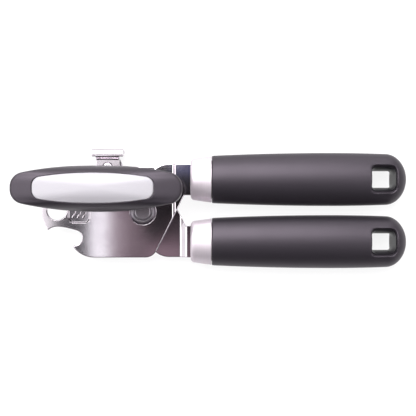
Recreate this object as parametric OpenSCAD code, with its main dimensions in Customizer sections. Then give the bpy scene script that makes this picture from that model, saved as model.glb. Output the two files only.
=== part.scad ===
// Manual can opener, lying on its back with the crank knob up.
// Two stamped plates cross at a rivet. The front plate carries the crank and the
// feed wheel, the rear plate carries the cutter wheel and its guard.
// Local coordinates are measured from the pivot rivet's axis; place() moves them
// so that the origin is the middle of the resting footprint, on the table.

/* [Steel plates] */
// Thickness of both stamped plates
plate_t = 2; // [1.6:0.1:2.4]
// Gap between the plates at the pivot
plate_gap = 1.4; // [1.2:0.1:1.8]
// Height of the front plate's lower edge, below the pivot
front_drop = 25.4; // [22:0.1:28]
// Height of the front plate's hidden upper edge, above the pivot
front_rise = 21; // [20:0.1:23]
// Height of the rear plate's top edge, above the pivot
rear_rise = 25.1; // [24:0.1:26]
// Radius of the front plate's outer corner next to its slanted edge
front_corner_r = 6.8; // [2:0.1:8]
// Radius of the rear plate's outer corner next to its slanted edge
rear_corner_r = 4.5; // [2:0.1:8]
// Radius of the curve from each tang into its plate
shoulder_r = 12.3; // [8:0.1:15]
// Where each shoulder curve meets its tang, from the pivot
shoulder_x = 14.4; // [12:0.1:16]
// Where the front plate's slanted edge meets its tang, from the pivot
front_slant_x = 22.8; // [21:0.1:24]
// Where the rear plate's slanted edge meets its tang, from the pivot
rear_slant_x = 23.6; // [21:0.1:24]
// Slope of the plates' slanted edges, in degrees from the handles' direction
slant_a = 63.5; // [55:0.5:70]
// Radius of the rear plate's boss around the pivot
pivot_boss_r = 11.5; // [10:0.1:13]

/* [Tangs] */
// Width of the tangs
tang_w = 17.5; // [14:0.1:19]
// Length of each tang inside its handle
tang_l = 70; // [50:1:85]
// Diameter of the two moulding holes in each tang
tang_hole_d = 6; // [4:0.1:8]
// Place of the first moulding hole, from the ferrule's face
tang_hole_a = 26; // [20:1:30]
// Distance between the two moulding holes
tang_hole_pitch = 26; // [20:1:35]
// Where the front plate's joggle starts, from the pivot
front_joggle_x = 16.4; // [15:0.1:18]
// Length of the front plate's joggle
front_joggle_l = 1.4; // [1:0.1:3]
// Where the rear plate's joggle starts, from the pivot
rear_joggle_x = 20.7; // [19.5:0.1:22]
// Length of the rear plate's joggle
rear_joggle_l = 3.2; // [2:0.1:4]

/* [Hook and bottle opener] */
// Hook hole centre, left of the pivot
hook_x = 47.4; // [42:0.1:52]
// Hook hole centre, above the pivot
hook_y = 0.7; // [-1:0.1:3]
// Diameter of the round hole in the hook
hook_hole_d = 10.7; // [8:0.1:12]
// Width of the ring of metal around the hook hole
hook_ring_w = 3.1; // [2.5:0.1:5]
// Hook tip, left of the pivot
tip_x = 52.3; // [48:0.1:56]
// Hook tip, below the pivot
tip_y = 10.3; // [8:0.1:12]
// Radius of the bottle-opener notch
notch_r = 4.2; // [3:0.1:5]
// Centre of the notch, left of the pivot
notch_x = 37.8; // [35:0.1:40]
// Centre of the notch, below the pivot
notch_y = 14.4; // [13:0.1:16]
// Radius of the front plate's lower left corner
heel_r = 14.8; // [12:0.1:16]
// Centre of that corner, left of the pivot
heel_x = 26.8; // [24:0.1:29]

/* [Stamped pocket] */
// Left edge of the pocket, left of the pivot
pocket_x = 41; // [39:0.1:41.2]
// Lower edge of the pocket, below the pivot
pocket_y = 6; // [4:0.1:7]
// Length of the pocket
pocket_l = 11.6; // [9:0.1:13]
// Height of the pocket
pocket_h = 9; // [7:0.1:10]
// Radius of the pocket's corners
pocket_r = 3; // [1:0.1:4]
// How deep the pocket is pressed into the plate
pocket_d = 1.2; // [0.6:0.1:1.5]

/* [Guard] */
// Width of the neck that carries the guard
neck_w = 13.1; // [10:0.1:15]
// Width of the guard
guard_w = 17.7; // [15:0.1:20]
// Height where the neck steps forward, above the pivot
guard_step_y = 29.1; // [28:0.1:30]
// How far the guard steps forward
guard_step = 1.4; // [0.6:0.1:1.8]
// Height of the guard's top face, above the pivot
guard_top = 34.9; // [34.4:0.1:38]
// Inner radius of the guard's bend
guard_bend_r = 0.6; // [0.4:0.1:1]
// Gap left between the guard's rear edge and the table
guard_lift = 0.5; // [0:0.1:3]

/* [Pivot] */
// Diameter of the pivot rivet's shank
pivot_d = 7; // [5:0.1:8]
// Diameter of the rivet's front head
pivot_head_d = 12.6; // [11:0.1:16]
// Thickness of the rivet's front head
pivot_head_t = 1.9; // [1.2:0.1:2.5]
// Diameter of the raised middle of the front head
pivot_crown_d = 9; // [7:0.1:10]
// Diameter of the rivet's rear head
pivot_tail_d = 12; // [10:0.1:14]
// Thickness of the rivet's rear head
pivot_tail_t = 1.4; // [1:0.1:2]
// Outer diameter of the washer between the plates
pivot_washer_d = 18; // [14:0.5:20]
// Gap around the front head in its sunk seat
seat_gap = 0.65; // [0.1:0.05:2]
// Depth of the sunk seat
seat_depth = 0.5; // [0.2:0.1:0.8]

/* [Crank and feed wheel] */
// Crank axis, left of the pivot
shaft_x = 21.5; // [20:0.1:23]
// Crank axis, above the pivot
shaft_y = 12.2; // [11.5:0.1:12.8]
// Diameter of the crank shaft's journal
shaft_d = 8; // [6:0.1:9]
// Wall of the bushing around the shaft
bushing_wall = 1.5; // [1.2:0.1:2]
// Diameter of the bushing's front flange
bushing_flange_d = 15; // [13:0.1:17]
// Thickness of the bushing's front flange
bushing_flange_t = 1; // [0.8:0.1:1.5]
// Outer diameter of the feed wheel
feed_d = 10.8; // [10.2:0.1:11.6]
// Thickness of the feed wheel
feed_t = 3; // [2.4:0.1:3.6]
// Number of teeth on the feed wheel
feed_teeth = 16; // [12:1:24]
// Depth of the feed wheel's teeth
tooth_h = 0.8; // [0.5:0.1:1]
// Width across the square that drives the feed wheel
square_w = 5.2; // [4:0.1:6]
// Width across the two flats that drive the knob
shaft_flat_w = 6; // [4.5:0.1:7]
// Diameter of the shaft's riveted rear end
shaft_tail_d = 6.6; // [5:0.1:7.5]
// Thickness of the shaft's riveted rear end
shaft_tail_t = 1.4; // [1:0.1:2]
// Thickness of the spring washer, dished height included
spring_washer_h = 1.1; // [0.8:0.1:1.5]
// Thickness of the thrust washer
thrust_washer_t = 0.8; // [0.5:0.1:1.2]

/* [Cutter] */
// Cutter axis, left of the pivot
cutter_x = 19.9; // [18:0.1:21]
// Cutter axis, above the pivot
cutter_y = 24.6; // [24:0.1:25]
// Diameter of the cutter wheel
cutter_d = 15.6; // [14:0.1:16]
// Thickness of the cutter wheel
cutter_t = 1.4; // [1:0.1:1.8]
// Width of the cutter wheel's bevel
cutter_bevel = 2; // [1:0.1:3]
// Diameter of the stud that the cutter turns on
stud_d = 5; // [4:0.1:6]
// Diameter of the stud's head
stud_head_d = 8.6; // [7:0.1:10]
// Thickness of the stud's head
stud_head_t = 1.4; // [1:0.1:2]
// Wall of the spacer between plate and cutter
spacer_wall = 1.5; // [1:0.1:2]
// Thickness of the washer under the stud's head
cutter_washer_t = 0.4; // [0.3:0.1:0.6]

/* [Knob] */
// Length of the knob
knob_l = 88; // [75:1:100]
// Height of the knob at its middle
knob_h = 24.6; // [20:0.1:30]
// Radius of the knob's long sides
knob_side_r = 175; // [120:1:250]
// Radius of the knob's ends
knob_end_r = 7.5; // [5:0.1:9]
// Clearance from the front plate to the knob's underside
knob_lift = 14; // [11:0.5:18]
// Thickness of the knob at its middle
knob_t = 20; // [16:0.5:24]
// How much lower the knob's ends are than its middle
knob_sag = 3.5; // [1:0.1:6]
// Height of the hard base that shows under the soft shell
knob_base_t = 4; // [2:0.1:6]
// How far the base stands in from the shell's outline
knob_base_inset = 0.6; // [0:0.1:2]
// Wall of the soft shell
knob_wall = 2.4; // [1.6:0.1:4]
// Diameter of the knob's hub
hub_d = 19; // [17:0.1:22]
// Length of the badge
badge_l = 62; // [50:0.5:70]
// Height of the badge at its middle
badge_h = 15.8; // [12:0.1:17]
// How far the badge sits off the knob's middle, towards the hook
badge_shift = 1.2; // [0:0.1:3]
// Radius of the badge's corners
badge_end_r = 4.6; // [3:0.1:6]
// How far the badge's face lies under the shell's face
badge_sink = 0.2; // [0:0.05:0.5]
// Thickness of the badge at its middle
badge_t = 3.9; // [3.5:0.1:5]
// Diameter of the knob screw's thread
screw_d = 4; // [3:0.1:5]
// Diameter of the knob screw's head
screw_head_d = 8; // [7:0.1:9]
// Thickness of the knob screw's head
screw_head_t = 2.6; // [2:0.1:3]
// Length of the knob screw under its head
screw_l = 14; // [10:0.5:16]
// How deep the shaft goes into the knob, from the knob's underside
shaft_in_knob = 9; // [6:0.5:11]

/* [Handles] */
// Height of the upper handle's axis above the pivot
upper_axis_y = 17.8; // [16:0.1:20]
// Depth of the lower handle's axis below the pivot
lower_axis_y = 16.6; // [15:0.1:19]
// Where both ferrules start, from the pivot
ferrule_x = 26.3; // [26:0.1:30]
// Length of each ferrule
ferrule_l = 11.5; // [8:0.1:15]
// Height of each ferrule at the plates
ferrule_front_h = 23.1; // [21:0.1:25]
// Height of each ferrule at the grip
ferrule_back_h = 25.6; // [23:0.1:27]
// Radius of each ferrule's front edge
ferrule_edge_r = 2.4; // [1:0.1:3]
// Wall of each ferrule
ferrule_wall = 0.9; // [0.6:0.1:1.2]
// Length of each grip
grip_l = 107.5; // [90:0.5:125]
// Height of each grip where it meets the ferrule
grip_start_h = 26.3; // [25:0.1:28]
// Height of each grip at its widest
grip_h = 29.4; // [27:0.1:33]
// Height of each grip where its end cap starts
grip_cap_h = 28.2; // [26:0.1:30]
// Widest point of each grip, from the ferrule
grip_belly_s = 66; // [55:0.5:75]
// Length of each grip's rounded end cap
grip_cap_l = 11; // [8:0.1:14]
// Thickness of each grip at its widest
grip_t = 22; // [18:0.1:26]
// Wall of the soft grip over the hard core
grip_wall = 2.6; // [1.8:0.1:3.5]
// Length of the hang hole
hang_l = 13.2; // [10:0.1:16]
// Height of the hang hole at the grip's surface
hang_mouth_h = 18; // [15:0.1:20]
// Height of the hang hole at its waist
hang_waist_h = 9.1; // [6:0.1:12]
// Radius of the hang hole's corners
hang_r = 3; // [1:0.1:4]
// Distance from the hang hole's centre to the grip's end
hang_from_end = 13.8; // [12:0.1:18]

/* [Clearances] */
// Radial clearance of turning fits
run_fit = 0.05; // [0.02:0.01:0.1]
// Clearance between pieces that are fixed together
seat_fit = 0.05; // [0.02:0.01:0.1]
// Clearance between a tang and the other arm's plate
tang_clear = 0.2; // [0.15:0.05:0.5]
// Side clearance between parts that turn past each other
side_clear = 0.35; // [0.3:0.05:0.6]
// Clearance around the bushing in the rear plate's cut-out
cutout_clear = 1; // [0.5:0.1:1.5]

/* [Hidden] */
$fn = 96;
over = 1;                       // how far a cut runs past the faces it opens
thin = 0.02;                    // overlap that joins two solids of one piece
tang_chamfer = 3;               // bevel at the tangs' hidden ends
wing_r = 2;                     // corners of the rear plate behind the cutter
oval_squareness = 2.2;          // 2 is an ellipse, more is squarer

shoulder_sweep = 68;            // degrees that each shoulder curve turns through
notch_a = [76, -94];            // directions where the notch's arc starts and ends
heel_a = 218;                   // direction where the lower left corner starts
hook_a = [62, 176];             // directions where the ring of the hook starts and ends
hidden_edge_x = [4, 31.8];      // ends of the edge behind the knob, left of the pivot
tip_out_pull = [-1.9, 2.6];     // how the curve outside the tip leaves it
tip_in_pull = [2.8, 2.8];       // how the curve inside the tip leaves it
throat_pull = [-8.5, 2.4];      // how that curve meets the notch
ring_pull = [0, -4];            // how the outside curve leaves the ring of the hook
cutout_a = -30;                 // direction where the bushing's cut-out ends
boss_a = 222;                   // direction where the rear plate's boss ends
neck_root = 3;                  // how far the guard's neck reaches into its plate
screw_gap = 0.3;                // space between the knob's screw and the badge
crown_facets = 720;             // sides of the large round that crowns the knob

// Sizes that follow from others
bushing_d = shaft_d + 2 * bushing_wall;
spacer_d = stud_d + 2 * spacer_wall;

// Heights, from the table up
head_depth = plate_t / 2 + tang_clear + plate_t + side_clear + feed_t + side_clear
    + cutter_t + cutter_washer_t + 3 * seat_fit + stud_head_t;
mid_z = max(grip_t / 2, head_depth);
rear_z1 = mid_z - plate_t / 2 - tang_clear;
rear_z0 = rear_z1 - plate_t;
front_z0 = rear_z1 + plate_gap;
front_z1 = front_z0 + plate_t;
feed_z1 = rear_z0 - side_clear;
feed_z0 = feed_z1 - feed_t;
cutter_z1 = feed_z0 - side_clear;
cutter_z0 = cutter_z1 - cutter_t;
cutter_washer_z0 = cutter_z0 - seat_fit - cutter_washer_t;
stud_z0 = cutter_washer_z0 - seat_fit - stud_head_t;
bushing_z0 = feed_z1 + seat_fit;
bushing_z1 = front_z1 + bushing_flange_t;
spring_z0 = bushing_z1 + seat_fit;
thrust_z0 = spring_z0 + spring_washer_h + seat_fit;
hub_z0 = thrust_z0 + thrust_washer_t + seat_fit;
knob_z0 = front_z1 + knob_lift;
knob_z1 = knob_z0 + knob_t;
shaft_z1 = knob_z0 + shaft_in_knob;
badge_z1 = knob_z1 - badge_sink;
badge_z0 = badge_z1 - badge_t;
seat_z = front_z1 - seat_depth;
seat_d = pivot_head_d + 2 * seat_gap;
screw_z1 = badge_z0 - screw_gap;
screw_z0 = screw_z1 - screw_head_t - screw_l;

// Places in the plan, from the pivot
shaft_at = [-shaft_x, shaft_y];
cutter_at = [-cutter_x, cutter_y];
hook_at = [-hook_x, hook_y];
grip_x = ferrule_x + ferrule_l;
handle_end_x = grip_x + grip_l;
tang_end_x = ferrule_x + tang_l;
flatten = grip_t / grip_h;      // thickness of a handle over its height
cap_s = grip_l - grip_cap_l;
left_end = -max(shaft_x + knob_l / 2, hook_x + hook_hole_d / 2 + hook_ring_w);
top_end = max(guard_top, upper_axis_y + grip_h / 2);
bottom_end = -max(front_drop, lower_axis_y + grip_h / 2);
pivot_at = [-(left_end + handle_end_x) / 2, -(top_end + bottom_end) / 2];

module place() { translate([pivot_at.x, pivot_at.y, 0]) children(); }

// Points on an arc, first and last included
function arc(c, r, a0, a1, n = 12) =
    [for (i = [0:n]) let (a = a0 + (a1 - a0) * i / n) c + r * [cos(a), sin(a)]];

// Points on a cubic curve from p0 to just before p3
function curve(p0, p1, p2, p3, n = 12) = [
    for (i = [0:n - 1]) let (t = i / n, u = 1 - t)
        u * u * u * p0 + 3 * u * u * t * p1 + 3 * u * t * t * p2 + t * t * t * p3
];

function reverse(points) = [for (i = [len(points) - 1:-1:0]) points[i]];

module ring(at, d_out, d_in, z0, z1) {
    translate([at.x, at.y, z0])
        difference() {
            cylinder(d = d_out, h = z1 - z0);
            translate([0, 0, -over]) cylinder(d = d_in, h = z1 - z0 + 2 * over);
        }
}

module bore(at, d, z0, z1) {
    translate([at.x, at.y, z0 - over]) cylinder(d = d, h = z1 - z0 + 2 * over);
}

// ---- Plates -------------------------------------------------------------

// Side view of a plate that steps from its head's height to its tang's height
module joggled_sheet(head_z, joggle_x, joggle_l) {
    tang_z = mid_z - plate_t / 2;
    lower = [
        [left_end, head_z], [joggle_x, head_z],
        [joggle_x + joggle_l, tang_z], [tang_end_x + over, tang_z]
    ];
    upper = [for (p = lower) p + [0, plate_t]];
    rotate([90, 0, 0])
        linear_extrude(height = 4 * grip_h, center = true)
            polygon(concat(lower, reverse(upper)));
}

// A tang's outline, from its slanted edge round to its shoulder curve;
// side is 1 for the upper arm and -1 for the lower arm
function tang_outline(axis_y, side, slant_x) =
    let (
        inner_y = axis_y - side * tang_w / 2,
        outer_y = axis_y + side * tang_w / 2
    )
    concat(
        [
            [slant_x, inner_y],
            [tang_end_x - tang_chamfer, inner_y],
            [tang_end_x, inner_y + side * tang_chamfer],
            [tang_end_x, outer_y - side * tang_chamfer],
            [tang_end_x - tang_chamfer, outer_y]
        ],
        arc([shoulder_x, outer_y - side * shoulder_r], shoulder_r, side * 90,
            side * (90 + shoulder_sweep))
    );

// Centre of a plate's outer corner of radius r, which touches the level edge at
// edge_y and the slanted edge that meets the tang at (slant_x, inner_y)
function corner_centre(edge_y, slant_x, inner_y, r) =
    let (
        y = edge_y - sign(edge_y) * r,
        slant_at_y = slant_x - abs(inner_y - y) / tan(slant_a)
    )
    [slant_at_y - r / sin(slant_a), y];

module tang_holes(axis_y, d) {
    for (i = [0, 1])
        bore([ferrule_x + tang_hole_a + i * tang_hole_pitch, axis_y], d, 0, 2 * mid_z);
}

module front_outline() {
    ring_r = hook_hole_d / 2 + hook_ring_w;
    ring_left = hook_at - [ring_r, 0];
    tip = [-tip_x, -tip_y];
    notch_at = [-notch_x, -notch_y];
    notch_top = notch_at + notch_r * [cos(notch_a[0]), sin(notch_a[0])];
    corner = corner_centre(-front_drop, front_slant_x, upper_axis_y - tang_w / 2,
        front_corner_r);
    polygon(concat(
        curve(tip, tip + tip_in_pull, notch_top + throat_pull, notch_top),
        arc(notch_at, notch_r, notch_a[0], notch_a[1]),
        arc([-heel_x, heel_r - front_drop], heel_r, heel_a, 270),
        arc(corner, front_corner_r, 270, 270 + slant_a, 6),
        tang_outline(upper_axis_y, 1, front_slant_x),
        [[-hidden_edge_x[0], front_rise], [-hidden_edge_x[1], front_rise]],
        arc(hook_at, ring_r, hook_a[0], hook_a[1]),
        curve(ring_left, ring_left + ring_pull, tip + tip_out_pull, tip)
    ));
}

module pocket_outline(grow) {
    w = pocket_l + 2 * grow;
    h = pocket_h + 2 * grow;
    r = pocket_r + grow;
    translate([-pocket_x - grow, -pocket_y - grow]) {
        translate([r, 0]) square([w - 2 * r, h]);
        translate([0, r]) square([w, h - 2 * r]);
        for (x = [r, w - r], y = [r, h - r])
            translate([x, y]) circle(r = r);
    }
}

module front_plate() {
    lip = plate_t - pocket_d;
    color("#c9c3c9") place() difference() {
        union() {
            intersection() {
                linear_extrude(height = front_z1 + over) front_outline();
                joggled_sheet(front_z0, front_joggle_x, front_joggle_l);
            }
            translate([0, 0, front_z0 - pocket_d])
                linear_extrude(height = pocket_d + thin) pocket_outline(lip);
        }
        translate([0, 0, front_z1 - pocket_d])
            linear_extrude(height = plate_t) pocket_outline(0);
        bore([0, 0], pivot_d + 2 * run_fit, front_z0, front_z1);
        translate([0, 0, seat_z]) cylinder(d = seat_d, h = plate_t);
        bore(shaft_at, bushing_d + 2 * seat_fit, front_z0, front_z1);
        bore(hook_at, hook_hole_d, front_z0, front_z1);
        tang_holes(upper_axis_y, tang_hole_d);
    }
}

module rear_outline() {
    inner_y = tang_w / 2 - lower_axis_y;
    cutout_r = bushing_d / 2 + cutout_clear;
    corner = corner_centre(rear_rise, rear_slant_x, inner_y, rear_corner_r);
    wing = [wing_r - cutter_x - guard_w / 2, shaft_y + cutout_r + wing_r];
    polygon(concat(
        reverse(tang_outline(-lower_axis_y, -1, rear_slant_x)),
        arc(corner, rear_corner_r, 90 - slant_a, 90, 6),
        arc([wing.x, rear_rise - wing_r], wing_r, 90, 180, 6),
        arc(wing, wing_r, 180, 270, 6),
        arc(shaft_at, cutout_r, 90, cutout_a),
        arc([0, 0], pivot_boss_r, 180, boss_a, 6)
    ));
}

// Side view of the guard: up from the plate, one step forward, then back over
// the cutter in a round bend
module guard_profile() {
    root_y = rear_rise - neck_root;
    step_end_y = guard_step_y + guard_step;
    face_z = rear_z1 + guard_step;
    bend_r = guard_bend_r + plate_t;
    bend = [guard_top - bend_r, face_z - bend_r];
    polygon(concat(
        [[root_y, rear_z1], [guard_step_y, rear_z1], [step_end_y, face_z]],
        arc(bend, bend_r, 90, 0),
        [[guard_top, guard_lift], [guard_top - plate_t, guard_lift]],
        arc(bend, guard_bend_r, 0, 90, 6),
        [
            [step_end_y, face_z - plate_t], [guard_step_y, rear_z0],
            [root_y, rear_z0]
        ]
    ));
}

module guard_front() {
    step_end_y = guard_step_y + guard_step;
    translate([-cutter_x - neck_w / 2, 0]) square([neck_w, step_end_y + thin]);
    translate([-cutter_x - guard_w / 2, step_end_y])
        square([guard_w, guard_top - step_end_y + over]);
}

module rear_plate() {
    color("#bdb6bd") place() difference() {
        union() {
            intersection() {
                linear_extrude(height = mid_z + plate_t) rear_outline();
                joggled_sheet(rear_z0, rear_joggle_x, rear_joggle_l);
            }
            intersection() {
                linear_extrude(height = front_z1) guard_front();
                translate([-cutter_x, 0, 0])
                    rotate([90, 0, 90])
                        linear_extrude(height = guard_w + over, center = true)
                            guard_profile();
            }
        }
        bore([0, 0], pivot_d + 2 * seat_fit, rear_z0, rear_z1);
        bore(cutter_at, stud_d + 2 * seat_fit, rear_z0, rear_z1);
        tang_holes(-lower_axis_y, tang_hole_d);
    }
}

// ---- Pivot --------------------------------------------------------------

module pivot_rivet() {
    shank_r = pivot_d / 2;
    head_r = pivot_head_d / 2;
    crown_r = pivot_crown_d / 2;
    tail_r = pivot_tail_d / 2;
    head_z0 = seat_z + seat_fit;
    head_z1 = head_z0 + pivot_head_t;
    tail_z0 = rear_z0 - seat_fit - pivot_tail_t;
    edge = 0.5;
    groove = 0.6;
    color("#8f8a92") place() rotate_extrude() polygon([
        [0, tail_z0], [tail_r - edge, tail_z0], [tail_r, tail_z0 + edge],
        [tail_r, rear_z0 - seat_fit], [shank_r, rear_z0 - seat_fit],
        [shank_r, head_z0], [head_r, head_z0],
        [head_r, head_z1 - edge], [head_r - edge, head_z1],
        [crown_r + groove, head_z1], [crown_r + groove / 2, head_z1 - groove],
        [crown_r, head_z1], [crown_r - edge, head_z1 + edge], [0, head_z1 + edge]
    ]);
}

module pivot_washer() {
    color("#e8e6df") place()
        ring([0, 0], pivot_washer_d, pivot_d + 2 * run_fit,
            rear_z1 + seat_fit, front_z0 - seat_fit);
}

// ---- Cutter -------------------------------------------------------------

module cutter_stud() {
    edge = 0.4;
    head_r = stud_head_d / 2;
    shank_r = stud_d / 2;
    head_z1 = stud_z0 + stud_head_t;
    color("#b9b6bb") place() translate([cutter_at.x, cutter_at.y, 0])
        rotate_extrude() polygon([
            [0, stud_z0], [head_r - edge, stud_z0], [head_r, stud_z0 + edge],
            [head_r, head_z1], [shank_r, head_z1], [shank_r, rear_z1], [0, rear_z1]
        ]);
}

module cutter_spacer() {
    color("#a9a6ab") place()
        ring(cutter_at, spacer_d, stud_d + 2 * seat_fit,
            cutter_z1 + seat_fit, rear_z0 - seat_fit);
}

module cutter_washer() {
    color("#d0ced2") place()
        ring(cutter_at, stud_head_d, stud_d + 2 * seat_fit,
            cutter_washer_z0, cutter_washer_z0 + cutter_washer_t);
}

module cutter_wheel() {
    rim_r = cutter_d / 2;
    edge_t = 0.15;
    bore_r = stud_d / 2 + run_fit;
    color("#c7c5ca") place() translate([cutter_at.x, cutter_at.y, 0])
        rotate_extrude() polygon([
            [bore_r, cutter_z0], [rim_r - cutter_bevel, cutter_z0],
            [rim_r, cutter_z1 - edge_t], [rim_r, cutter_z1], [bore_r, cutter_z1]
        ]);
}

// ---- Crank --------------------------------------------------------------

module at_shaft() { place() translate([shaft_at.x, shaft_at.y, 0]) children(); }

module shaft_bushing() {
    color("#b08d57") at_shaft() difference() {
        union() {
            translate([0, 0, bushing_z0]) cylinder(d = bushing_d, h = bushing_z1 - bushing_z0);
            translate([0, 0, front_z1 + seat_fit])
                cylinder(d = bushing_flange_d, h = bushing_flange_t - seat_fit);
        }
        bore([0, 0], shaft_d + 2 * run_fit, bushing_z0, bushing_z1);
    }
}

// Section of the shaft's upper end: a circle with two flats
module flatted_section(grow) {
    intersection() {
        circle(d = shaft_d + 2 * grow);
        square([shaft_d + over, shaft_flat_w + 2 * grow], center = true);
    }
}

module crank_shaft() {
    color("#a5a2a8") at_shaft() difference() {
        union() {
            translate([0, 0, feed_z0 - seat_fit - shaft_tail_t])
                cylinder(d = shaft_tail_d, h = shaft_tail_t);
            translate([0, 0, (feed_z0 + bushing_z0) / 2])
                cube([square_w, square_w, bushing_z0 - feed_z0 + 2 * seat_fit], center = true);
            translate([0, 0, bushing_z0 + seat_fit])
                cylinder(d = shaft_d, h = hub_z0 - bushing_z0 - seat_fit);
            translate([0, 0, hub_z0]) linear_extrude(height = shaft_z1 - hub_z0)
                flatted_section(0);
        }
        translate([0, 0, screw_z0 - over])
            cylinder(d = screw_d + 2 * seat_fit, h = shaft_z1 - screw_z0 + 2 * over);
    }
}

module feed_wheel() {
    tip_r = feed_d / 2;
    root_r = tip_r - tooth_h;
    pitch = 360 / feed_teeth;
    tip_share = 0.15;
    gap_share = 0.35;
    outline = [
        for (i = [0:feed_teeth - 1])
            for (step = [[-tip_share, tip_r], [tip_share, tip_r],
                    [gap_share, root_r], [1 - gap_share, root_r]])
                let (a = (i + step[0]) * pitch) step[1] * [cos(a), sin(a)]
    ];
    hole = square_w + 2 * seat_fit;
    color("#8d8a90") at_shaft() difference() {
        translate([0, 0, feed_z0]) linear_extrude(height = feed_t) polygon(outline);
        translate([0, 0, (feed_z0 + feed_z1) / 2])
            cube([hole, hole, feed_t + 2 * over], center = true);
    }
}

module spring_washer() {
    leaf = 0.5;
    inset = 0.5;
    r0 = shaft_d / 2 + seat_fit;
    r1 = bushing_flange_d / 2 - inset;
    color("#cfcdd2") at_shaft() translate([0, 0, spring_z0])
        rotate_extrude() polygon([
            [r0, spring_washer_h - leaf], [r1, 0], [r1, leaf], [r0, spring_washer_h]
        ]);
}

module thrust_washer() {
    color("#dedbd6") place()
        ring(shaft_at, bushing_flange_d, shaft_d + 2 * seat_fit,
            thrust_z0, thrust_z0 + thrust_washer_t);
}

// ---- Knob ---------------------------------------------------------------

// Lens with round ends: two long arcs of radius side_r joined by small ones of
// radius end_r, all drawn inset from the full length l and height h
module lens(l, h, side_r, end_r, inset) {
    side_y = h / 2 - side_r;
    end_x = l / 2 - end_r;
    end_y = side_y + sqrt(pow(side_r - end_r, 2) - end_x * end_x);
    join_a = atan2(end_y - side_y, end_x);
    r = end_r - inset;
    upper = concat(
        arc([end_x, end_y], r, 0, join_a, 8),
        arc([0, side_y], side_r - inset, join_a, 180 - join_a, 24),
        arc([-end_x, end_y], r, 180 - join_a, 180, 8)
    );
    lower = [for (p = reverse(upper)) [p.x, -p.y]];
    polygon(concat(upper, lower));
}

module knob_lens(inset) { lens(knob_l, knob_h, knob_side_r, knob_end_r, inset); }

module badge_lens(inset) {
    translate([-badge_shift, 0]) lens(badge_l, badge_h, knob_side_r, badge_end_r, inset);
}

// Everything under the knob's front, which is crowned along its length
module under_crown(z1) {
    crown_r = (pow(knob_l / 2, 2) + knob_sag * knob_sag) / (2 * knob_sag);
    translate([0, 0, z1 - crown_r])
        rotate([90, 0, 0])
            cylinder(r = crown_r, h = 2 * knob_h, center = true, $fn = crown_facets);
}

// The knob's full shape, every face inset from the outside: the lens in plan,
// rounded over along its long sides
module knob_form(inset) {
    half = knob_h / 2 - inset;
    rise = knob_t - inset;
    squareness = 3;
    top = [
        for (i = [0:20]) let (a = 180 * i / 20, c = cos(a))
            [
                half * sign(c) * pow(abs(c), 2 / squareness),
                rise * pow(sin(a), 2 / squareness)
            ]
    ];
    intersection() {
        translate([0, 0, knob_z0]) linear_extrude(height = rise + over) knob_lens(inset);
        translate([0, 0, knob_z0])
            rotate([90, 0, 90])
                linear_extrude(height = knob_l + over, center = true) polygon(top);
        under_crown(knob_z1 - inset);
    }
}

// What the soft shell is moulded over: the block that stands on the base
module knob_block(grow) {
    intersection() {
        knob_form(knob_wall - grow);
        translate([0, 0, knob_z0])
            linear_extrude(height = badge_z0 - seat_fit + grow - knob_z0)
                knob_lens(knob_wall - grow);
    }
}

module knob_core() {
    color("#2b272e") at_shaft() difference() {
        union() {
            translate([0, 0, hub_z0]) cylinder(d = hub_d, h = knob_z0 - hub_z0 + thin);
            translate([0, 0, knob_z0]) linear_extrude(height = knob_base_t)
                knob_lens(knob_base_inset);
            knob_block(0);
        }
        translate([0, 0, hub_z0 - over])
            linear_extrude(height = shaft_z1 + seat_fit - hub_z0 + over)
                flatted_section(seat_fit);
        bore([0, 0], screw_d + 2 * seat_fit, shaft_z1, badge_z0);
        translate([0, 0, screw_z1 - screw_head_t - seat_fit])
            cylinder(d = screw_head_d + 4 * seat_fit, h = knob_t);
    }
}

module knob_grip() {
    color("#4b464f") at_shaft() difference() {
        intersection() {
            knob_form(0);
            translate([-knob_l, -knob_h, knob_z0 + knob_base_t + seat_fit])
                cube([2 * knob_l, 2 * knob_h, knob_t]);
        }
        knob_block(seat_fit);
        translate([0, 0, badge_z0]) linear_extrude(height = knob_t) badge_lens(-seat_fit);
    }
}

module knob_badge() {
    color("#e9e7ea") at_shaft() intersection() {
        knob_form(badge_sink);
        translate([0, 0, badge_z0]) linear_extrude(height = badge_t + over) badge_lens(0);
    }
}

module knob_screw() {
    slot_l = 0.6 * screw_head_d;
    slot_w = 1.2;
    color("#9c9aa0") at_shaft() difference() {
        union() {
            translate([0, 0, screw_z0]) cylinder(d = screw_d, h = screw_l + thin);
            translate([0, 0, screw_z1 - screw_head_t])
                cylinder(d = screw_head_d, h = screw_head_t);
        }
        for (a = [0, 90])
            translate([0, 0, screw_z1])
                rotate([0, 0, a])
                    cube([slot_l, slot_w, screw_head_t], center = true);
    }
}

// ---- Handles ------------------------------------------------------------

// Radius of a grip at s from the ferrule, before its end cap rounds it off
function body_r(s) =
    s < grip_belly_s
    ? grip_h / 2 - (grip_h - grip_start_h) / 2 * pow(1 - s / grip_belly_s, 2)
    : grip_h / 2 - (grip_h - grip_cap_h) / 2
        * pow((s - grip_belly_s) / (cap_s - grip_belly_s), 2);

// Half of a grip's outline, [place, radius], every wall inset
function grip_points(inset) = concat(
    [for (i = [0:8]) let (s = cap_s * i / 8) [s, body_r(s) - inset]],
    [
        for (i = [1:8])
            let (a = 90 * i / 8, s = cap_s + (grip_cap_l - inset) * sin(a))
            [s, (body_r(s) - inset) * cos(a)]
    ]
);

// Half of a ferrule's outline, from its face to end, every wall inset
function ferrule_points(inset, end) =
    let (
        front_r = ferrule_front_h / 2,
        slope = (ferrule_back_h / 2 - front_r) / (ferrule_l - ferrule_edge_r),
        corner = [ferrule_edge_r, front_r - ferrule_edge_r]
    )
    concat(
        arc(corner, ferrule_edge_r - inset, 180, 90, 6),
        [[end, front_r + slope * (end - ferrule_edge_r) - inset]]
    );

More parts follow.
